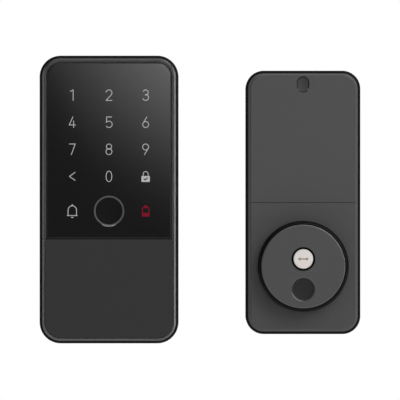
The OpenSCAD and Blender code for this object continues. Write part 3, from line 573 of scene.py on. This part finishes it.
# Pad of the sensor: a shallow dish inside the ring.
sensor_high = box_mm("fingerprint_sensor")[1]
r = sensor_high[0]
dish = [(0, front + 0.8)]
for i in range(1, 9):
    dish.append((r * 0.96 * i / 8, front + 0.8 - 0.38 * (i / 8) ** 2))
dish += [(r, front + 0.48), (r, sensor_high[1]), (0, sensor_high[1])]
finger_pad = lathe_object("finger_pad", dish, sensor, "case", *sensor_at, 128)
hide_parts("fingerprint_sensor")

# Keyhole cover: its own piece of the rim, and the face plate inside the groove.
front = k_front
bm = bmesh.new()
add_sweep(bm, k_sides, seam_bottom, k_corner, False, [(1.95, cover_high[1]), (1.95, k_rim)]
          + rim_start[2:10] + [(2.7, front + 1.6), (3.35, front + 2.0), (3.35, cover_high[1])])
cover_rim = new_object("cover_rim", bm, bezel, "keyhole_cover")
bm = bmesh.new()
face_inset = 2.84
skirt = cut_outline(k_outline(face_inset), seam_bottom, False)
sides = []
for inset, y in reversed(round_edge(face_inset, front, 0.16, 0.16, 3)):
    sides.append((cut_outline(k_outline(inset), seam_bottom - (inset - face_inset), False), y))
sides.append((skirt, front + 1.9))
add_plate(bm, sides)
lip_x = 33
add_box(bm, -lip_x, lip_x, front + 1.85, cover_high[1], seam_bottom - 1.5, seam_bottom - 0.1)
cover_face = new_object("cover_face", bm, charcoal, "keyhole_cover")
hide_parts("keyhole_cover")


# ------------------------------------------------------------------ knob unit

# Names that start with i_ are the knob unit's lengths: it belongs inside the door.
low, high = box_mm("knob_housing")
i_sides = (low[0], high[0], low[2], high[2])
i_rim, i_back = low[1], high[1]
i_corner = 9.4
knob_x = (low[0] + high[0]) / 2
panel_low, panel_high = box_mm("lower_panel")
i_front = panel_low[1]
panel_top = panel_high[2]
lid_low, lid_high = box_mm("battery_cover")
lid_bottom = lid_low[2]
lid_back = lid_high[1] - 1.6


def i_outline(inset):
    return rounded(*i_sides, (i_corner,) * 4, inset, arc_steps)


# Side wall of the knob unit, the web round the knob's seat, the shelf and the wall behind the cells.
bm = housing_ring(i_outline, i_rim, i_back, 1.6, 0.85, 0.9)
web_front = i_front + 2.1
web = cut_outline(i_outline(1.55), panel_top - 0.3, False)
seat = circle(knob_x, 0, 9.0, 96)
add_plate(bm, [(web, web_front), (web, web_front + 1.5)], [[(seat, web_front), (seat, web_front + 1.5)]])
wall_z = panel_top - 0.3
wall_front, wall_back = -8.8, -7.4
add_box(bm, i_sides[0] + 1.5, i_sides[1] - 1.5, web_front, wall_back, wall_z - 1.5, wall_z - 0.02)
wall = cut_outline(i_outline(1.55), wall_z - 1.4, True)
add_plate(bm, [(wall, wall_front), (wall, wall_back)])
knob_shell = new_object("knob_shell", bm, black, "case")
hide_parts("knob_housing")


def panel_sides(front, back, seam, keep_above):
    """Sides of a front panel: sloping border and a step up to the flat, small chamfer at the seam."""
    sides = []
    border = ((2.85, 0), (2.76, 0.04), (2.56, 0.42), (2.46, 0.5), (1.75, 0.8), (1.5, 0.95), (1.34, 1.15))
    for inset, below in border:
        chamfer = max(0.0, 0.08 - below)
        edge = seam + chamfer if keep_above else seam - chamfer
        sides.append((cut_outline(i_outline(inset), edge, keep_above), front + below))
    rim = cut_outline(i_outline(1.34), seam, keep_above)
    skirt = cut_outline(i_outline(1.8), seam, keep_above)
    sides += [(rim, i_rim), (skirt, i_rim), (skirt, back)]
    return sides


# Lower panel, with the opening for the knob's hub.
seam_grow = 0.09
bm = bmesh.new()
opening = circle(knob_x, 0, 10.6, 96)
hole = [(opening, i_front), (opening, panel_high[1])]
add_plate(bm, panel_sides(i_front, panel_high[1], panel_top + seam_grow, False), [hole])
front_panel = new_object("front_panel", bm, graphite, "case")
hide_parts("lower_panel")

# Battery cover, with the opening for the release tab and ribs between the cells.
tab_high = box_mm("release_tab")[1]
oval_w, oval_h = 6.2, 8.3
oval_z = i_sides[3] - 7.2
cell_pitch = 14.5


def oval(grow):
    half, tall = oval_w / 2 + grow, oval_h / 2 + grow
    return rounded(knob_x - half, knob_x + half, oval_z - tall, oval_z + tall, (half - 0.01,) * 4, 0, 16)


bm = bmesh.new()
hole = [(oval(0.28), i_front), (oval(0.1), i_front + 0.08), (oval(0), i_front + 0.3), (oval(0), lid_back)]
add_plate(bm, panel_sides(i_front, lid_back, lid_bottom - seam_grow, True), [hole])
for i in (1, 2, 3):
    rib = panel_top + 8.55 + (i - 0.5) * cell_pitch
    add_box(bm, knob_x - 24, knob_x + 24, lid_back - 0.1, lid_high[1], rib - 0.5, rib + 0.5)
battery_lid = new_object("battery_lid", bm, graphite, "battery_cover")
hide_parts("battery_cover")

# Release tab: a finger scoop, deepest at its top, with the catch behind it. Its coat is darker than the
# face: painted shade of the recess.
bm = bmesh.new()
rings = []
for k in range(9):
    share = 1 - k / 8
    loop = []
    for x, z in oval(-0.28):
        px, pz = knob_x + (x - knob_x) * share, oval_z + (z - oval_z) * share
        depth = 0.5 + (1 - share ** 2) * 0.45 + 0.28 * (pz - oval_z) / 4
        loop.append(bm.verts.new((px, i_front + depth, pz)))
    rings.append(loop)
for a, b in zip(rings, rings[1:]):
    bridge(bm, a, b)
back = add_loop(bm, oval(-0.28), i_front + 2.3)
bridge(bm, rings[0], back)
bm.faces.new(back)
bmesh.ops.remove_doubles(bm, verts=rings[-1], dist=0.001)
add_box(bm, knob_x - 2, knob_x + 2, i_front + 2.2, i_front + 3.1, oval_z - 1, tab_high[2])
tab_scoop = new_object("tab_scoop", bm, tab_coat_painted_shade, "release_tab", 50)
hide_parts("release_tab")

# Knob: black rim, hub, and face plate with its two openings.
face_low, face_high = box_mm("knob_face")
body_low, body_high = box_mm("knob_body")
knob_front, rim_front = face_low[1], body_low[1]
base = i_front - 1
rim_r = body_high[0] - knob_x
face_r = face_high[0] - knob_x
profile = [(9.4, base - 2), (9.4, base + 1.6), (10, base + 1.6), (10, base), (rim_r - 0.6, base),
           (rim_r - 0.2, base - 0.2), (rim_r, base - 0.7)]
for inset, y in round_edge(0, rim_front, 1.55, 2.2, 8):
    profile.append((rim_r - inset, y))
profile += [(face_r + 0.1, rim_front), (face_r - 2, rim_front + 0.05), (face_r - 2, base - 2)]
knob_rim = lathe_object("knob_rim", profile, knob_black, "knob", knob_x, 0, 192)
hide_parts("knob_body")
hub_in, hub_out, hub_back = 6.05, 9.5, base - 5.4
profile = [(hub_in, hub_back), (hub_in, base + 1.6), (hub_out, base + 1.6), (hub_out, hub_back)]
hub = lathe_object("knob_hub", profile, inner, "knob", knob_x, 0, 96)

cup_low, cup_high = box_mm("button_cup")
button_at = (knob_x, (cup_low[2] + cup_high[2]) / 2)
cup_r = (cup_high[0] - cup_low[0]) / 2
bowl_low, bowl_high = box_mm("finger_dimple")
bowl_at = (knob_x, (bowl_low[2] + bowl_high[2]) / 2)
bowl_r = (bowl_high[0] - bowl_low[0]) / 2
front = knob_front
edge_w = 0.5
plate_r = face_r - edge_w
bm = bmesh.new()
sides = [(circle(knob_x, 0, plate_r, 192), front), (circle(knob_x, 0, plate_r, 192), rim_front)]
holes = []
for at, r, wide in ((button_at, cup_r, 0.1), (bowl_at, bowl_r + edge_w, 0)):
    wall = circle(*at, r, 96)
    holes.append([(circle(*at, r + wide, 96), front), (wall, front + 0.1), (wall, rim_front)])
add_plate(bm, sides, holes)
knob_plate = new_object("knob_plate", bm, graphite, "knob")
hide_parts("knob_face")

# Polished edges of the face plate: the turned one outside and the cut one round the dimple.
profile = [(plate_r, rim_front), (plate_r, front), (plate_r + 0.04, front + 0.01),
           (face_r - 0.04, front + 0.16), (face_r, front + 0.2), (face_r, rim_front)]
knob_edge = lathe_object("knob_edge", profile, polished, "knob", knob_x, 0, 192)
cut_r = bowl_r + edge_w
profile = [(bowl_r, rim_front), (bowl_r, front + 0.3), (bowl_r + 0.03, front + 0.19),
           (cut_r - 0.04, front + 0.01), (cut_r, front), (cut_r, rim_front)]
dimple_edge = lathe_object("dimple_edge", profile, polished, "knob", *bowl_at, 128)

# Dimple for a fingertip.
deep = 1.1
bowl = [(0, front + deep)]
for i in range(1, 9):
    bowl.append((5.0 * i / 8, front + deep - 0.28 * (i / 8) ** 2))
bowl += [(5.4, front + 0.62), (5.65, front + 0.34), (bowl_r - 0.08, front + 0.3), (bowl_r, front + 0.3)]
bowl += [(bowl_r, bowl_high[1]), (0, bowl_high[1])]
dimple = lathe_object("thumb_dimple", bowl, dimple_coat, "knob", *bowl_at, 128)
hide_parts("finger_dimple")

# Guide and cap of the privacy button.
button_low, button_high = box_mm("privacy_button")
button_r = (button_high[0] - button_low[0]) / 2
guide = lathe_object("button_guide", [
    (cup_r, cup_high[1]), (cup_r, front + 0.08), (cup_r - 0.08, front + 0.04), (cup_r - 0.14, front + 1.4),
    (button_r + 0.1, front + 2), (button_r + 0.1, front + 3.8), (1.8, front + 3.8), (1.8, cup_high[1])],
    knob_black, "knob", *button_at, 128)
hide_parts("button_cup")
button_cap = lathe_object("button_cap", [
    (0, front + 0.15), (button_r - 0.5, front + 0.15), (button_r - 0.32, front + 0.22),
    (button_r - 0.15, front + 0.5), (button_r, front + 1.2), (button_r, front + 2.2), (1.6, front + 2.2),
    (1.6, button_high[1]), (0, button_high[1])],
    champagne, "privacy_button", *button_at, 128)
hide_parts("privacy_button")

# Turning sign on the button: an arrow head at each end of a short bar.
bm = bmesh.new()
arrow = [(-2.9, 0), (-1.5, 1.0), (-1.5, 0.32), (1.5, 0.32), (1.5, 1.0), (2.9, 0),
         (1.5, -1.0), (1.5, -0.32), (-1.5, -0.32), (-1.5, -1.0)]
arrow = [(button_at[0] + x, button_at[1] + z) for x, z in arrow]
add_plate(bm, [(arrow, front + 0.11), (arrow, front + 0.3)])
turn_sign = new_object("turn_sign", bm, mark_ink, "privacy_button")


# ------------------------------------------------------------------ behind the battery cover

def along_x(bm, start, x, y, z, flip):
    """Turns what was made about the Y axis since vertex number start so that it lies along X."""
    bm.verts.ensure_lookup_table()
    for v in bm.verts[start:]:
        a, b, c = v.co
        v.co = (x + (-b if flip else b), y + a, z + c)


def helix(x, y0, y1, z, r0, r1, turns, wire):
    """Coil along Y as path points, from radius r0 to radius r1."""
    points = []
    steps_per_turn = 18
    count = int(turns * steps_per_turn)
    for i in range(count + 1):
        t = i / count
        a = 2 * math.pi * turns * t
        r = r0 + (r1 - r0) * t
        points.append((x + r * math.cos(a), y0 + wire + (y1 - y0 - 2 * wire) * t, z + r * math.sin(a)))
    return points


# Four AA cells one above the other, every second one turned round, with their contacts.
cells_low, cells_high = box_mm("battery_cells")
cell_r, cell_len, nub, wall_x = 7.1, 49.3, 1.2, 26.6
cell_y = (cells_low[1] + cells_high[1]) / 2
cell_z = [cells_low[2] + cell_r + cell_pitch * i for i in range(4)]
band_at, plus_at, minus_at = 35, 43, 5
sign_half, bar_half = 1.3, 0.28
sleeves, bands, ends, marks = bmesh.new(), bmesh.new(), bmesh.new(), bmesh.new()
contacts = bmesh.new()
for i, z in enumerate(cell_z):
    flip = i % 2 == 1
    tail = wall_x - nub - cell_len
    way = -1 if flip else 1
    for bm, profile in (
        (sleeves, [(5.6, 0.2), (6.7, 0.1), (cell_r, 0.5), (cell_r, band_at), (6.6, band_at), (5.6, 1)]),
        (bands, [(cell_r, band_at + 0.02), (cell_r, cell_len - 0.6), (6.6, cell_len - 0.2),
                 (5.0, cell_len - 0.3), (5.0, cell_len - 1.5), (6.4, cell_len - 2), (6.4, band_at + 0.02)]),
        (ends, [(0, 0), (5.5, 0), (5.9, 0.5), (6.5, 1), (6.5, cell_len - 1), (5.2, cell_len - 0.6),
                (2.9, cell_len - 0.5), (2.7, cell_len - 0.3), (2.7, cell_len + nub - 0.3),
                (2.3, cell_len + nub), (0, cell_len + nub)]),
    ):
        start = len(bm.verts)
        add_lathe(bm, profile, 0, 0, 64)
        along_x(bm, start, knob_x + way * tail, cell_y, z, flip)
    sign_y = cell_y - cell_r
    plus_x = knob_x + way * (tail + plus_at)
    minus_x = knob_x + way * (tail + minus_at)
    for x, wide, tall, lift in ((plus_x, sign_half, bar_half, 0.02), (plus_x, bar_half, sign_half, 0.03),
                                (minus_x, sign_half, bar_half, 0.02)):
        add_box(marks, x - wide, x + wide, sign_y - lift, sign_y + 0.3, z - tall, z + tall)
    for side in (-1, 1):
        x = knob_x + side * (wall_x + 0.2)
        add_box(contacts, x - 0.2, x + 0.2, cell_y - 4.5, cell_y + 4.5, z - 4.5, z + 4.5)
    start = len(contacts.verts)
    add_tube(contacts, helix(0, -wall_x, -wall_x + 2.7, 0, 3.9, 2.4, 2.5, 0.3), 0.3, 8)
    along_x(contacts, start, knob_x, cell_y, z, flip)
# The cell signs take the white print, with its painted glow.
for name, bm, look, replaced in (
    ("cell_sleeves", sleeves, wrap_black, "battery_cells"), ("cell_bands", bands, wrap_green, None),
    ("cell_ends", ends, nickel, None), ("cell_signs", marks, white_print, None),
    ("cell_contacts", contacts, nickel, "battery_contacts"),
):
    obj = new_object(name, bm, look, "case")
    if replaced:
        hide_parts(replaced)

# Spring of the release tab.
spring_low, spring_high = box_mm("tab_spring")
bm = bmesh.new()
spring_x = (spring_low[0] + spring_high[0]) / 2
spring_z = (spring_low[2] + spring_high[2]) / 2
add_tube(bm, helix(spring_x, spring_low[1], spring_high[1], spring_z, 1.3, 1.3, 6, 0.18), 0.18, 8)
tab_coil = new_object("tab_coil", bm, steel, "case")
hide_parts("tab_spring")

# Gold pins in the cable's socket.
socket_low, socket_high = box_mm("cable_socket")
bm = bmesh.new()
socket_z = (socket_low[2] + socket_high[2]) / 2
pin_pitch, pin_half = 1.2, 0.25
pin_front, pin_back = socket_low[1] + 1, socket_high[1] - 0.6
for i in range(8):
    x = knob_x + pin_pitch * (i - 3.5)
    add_box(bm, x - pin_half, x + pin_half, pin_front, pin_back, socket_z - pin_half, socket_z + pin_half)
socket_pins = new_object("socket_pins", bm, brass, "case")


# ------------------------------------------------------------------ machined and moulded CAD parts

def soften(node, width):
    """Small rounded edges on a CAD part, without touching its own mesh."""
    obj = nodes[node]
    weld = obj.modifiers.new("weld", "WELD")
    weld.merge_threshold = 0.000001
    flat = obj.modifiers.new("flat", "DECIMATE")
    flat.decimate_type = "DISSOLVE"
    flat.angle_limit = math.radians(0.5)
    bevel = obj.modifiers.new("edges", "BEVEL")
    bevel.width = width * mm
    bevel.segments = 2
    bevel.limit_method = "ANGLE"
    bevel.angle_limit = math.radians(38)
    even = obj.modifiers.new("even_normals", "WEIGHTED_NORMAL")
    even.keep_sharp = True


for node, width in (("spindle", 0.25), ("back_plate", 0.15), ("mounting_plate", 0.2),
                    ("inner_cover", 0.15), ("centring_disc", 0.3), ("cable_grommet", 0.2),
                    ("cable_socket", 0.12), ("plug_cap", 0.2), ("bolt_posts", 0.2)):
    soften(node, width)


# ------------------------------------------------------------------ studio

def area_light(name, at, size, power, size_y):
    """Rectangular lamp in metres and watts, aimed at the middle of the object."""
    data = bpy.data.lights.new(name, "AREA")
    data.shape = "RECTANGLE"
    data.size = size
    data.size_y = size_y
    data.energy = power
    light = bpy.data.objects.new(name, data)
    light.location = at
    light.rotation_euler = (centre - light.location).to_track_quat("-Z", "Y").to_euler()
    bpy.context.collection.objects.link(light)


def sheet(name, corners, look):
    """Flat sheet in metres that belongs to the studio and not to the object."""
    mesh = bpy.data.meshes.new(name)
    mesh.from_pydata(corners, [], [(0, 1, 2, 3)])
    mesh.materials.append(look)
    made = bpy.data.objects.new(name, mesh)
    bpy.context.collection.objects.link(made)
    return made


# Middle of the object, in metres.
centre = Vector((0.0474, -0.02, 0.0346))

# White all round, with its own strength for surfaces, for reflections and for the camera.
world = bpy.data.worlds.new("studio")
bpy.context.scene.world = world
world.use_nodes = True
tree = world.node_tree
tree.nodes.remove(tree.nodes["Background"])
glows = []
for strength in (0.36, 0.12, 1.0):
    glow = tree.nodes.new("ShaderNodeBackground")
    glow.inputs["Color"].default_value = (1, 1, 1, 1)
    glow.inputs["Strength"].default_value = strength
    glows.append(glow.outputs["Background"])
path = tree.nodes.new("ShaderNodeLightPath")
mix = tree.nodes.new("ShaderNodeMixShader")
shine = tree.nodes.new("ShaderNodeMixShader")
tree.links.new(path.outputs["Is Glossy Ray"], shine.inputs["Fac"])
tree.links.new(glows[0], shine.inputs[1])
tree.links.new(glows[1], shine.inputs[2])
tree.links.new(path.outputs["Is Camera Ray"], mix.inputs["Fac"])
tree.links.new(shine.outputs["Shader"], mix.inputs[1])
tree.links.new(glows[2], mix.inputs[2])
tree.links.new(mix.outputs["Shader"], tree.nodes["World Output"].inputs["Surface"])

# Pale floor, far below the object.
floor_white = bpy.data.materials.new("floor_white")
floor_white.use_nodes = True
shader = floor_white.node_tree.nodes["Principled BSDF"]
shader.inputs["Base Color"].default_value = (0.92, 0.92, 0.92, 1)
shader.inputs["Roughness"].default_value = 0.9
floor_z, floor_half = -0.42, 3
sheet("floor", [(x * floor_half, y * floor_half, floor_z) for x, y in ((-1, -1), (1, -1), (1, 1), (-1, 1))],
      floor_white)

area_light("key", (0.85, -1.5, 0.9), 1.2, 13.4, 1.2)
area_light("top_line", (0.1, -0.8, 1.15), 1.5, 4.5, 0.08)
area_light("right_strip", (1.25, -0.7, 0.05), 0.14, 4.2, 1.4)
area_light("left_strip", (-1.3, -0.7, 0.05), 0.14, 1.5, 1.4)
area_light("low_strip", (0.05, -0.32, -0.4), 1.4, 0.35, 0.08)

# Dark card with a pale glow in front of the object: seen only in reflections, such as the glass's.
card_y = -3.0
look = bpy.data.materials.new("glass_card")
look.use_nodes = True
tree = look.node_tree
for node in list(tree.nodes):
    if node.bl_idname != "ShaderNodeOutputMaterial":
        tree.nodes.remove(node)
glow = tree.nodes.new("ShaderNodeEmission")
place = tree.nodes.new("ShaderNodeTexCoord")
away = tree.nodes.new("ShaderNodeVectorMath")
away.operation = "DISTANCE"
away.inputs[1].default_value = (0.115, card_y, 0.274)
tree.links.new(place.outputs["Object"], away.inputs[0])
fade = tree.nodes.new("ShaderNodeMapRange")
fade.interpolation_type = "SMOOTHERSTEP"
fade.inputs["From Min"].default_value = 0.038
fade.inputs["From Max"].default_value = 0.295
fade.inputs["To Min"].default_value = 4.3
fade.inputs["To Max"].default_value = 0.02
tree.links.new(away.outputs["Value"], fade.inputs["Value"])
tree.links.new(fade.outputs["Result"], glow.inputs["Strength"])
tree.links.new(glow.outputs["Emission"], tree.nodes["Material Output"].inputs["Surface"])
card_corners = ((-0.9, -0.8), (0.9, -0.8), (0.9, 1.0), (-0.9, 1.0))
card = sheet("glass_card", [(x, card_y, z) for x, z in card_corners], look)
card.visible_camera = False
card.visible_diffuse = False
card.visible_shadow = False
card.visible_transmission = False

# Camera straight in front, with a long lens and its picture view_w wide at the fronts of the units.
lens, sensor_w = 700, 36
view_w, view_y = 0.2083, -0.024
camera_data = bpy.data.cameras.new("camera")
camera_data.lens = lens
camera_data.sensor_width = sensor_w
camera_data.clip_end = 20
camera = bpy.data.objects.new("camera", camera_data)
camera.location = (centre.x, view_y - lens / sensor_w * view_w, centre.z - 0.0001)
camera.rotation_euler = (math.radians(90), 0, 0)
bpy.context.collection.objects.link(camera)
bpy.context.scene.camera = camera
bpy.context.scene.view_settings.view_transform = "Standard"
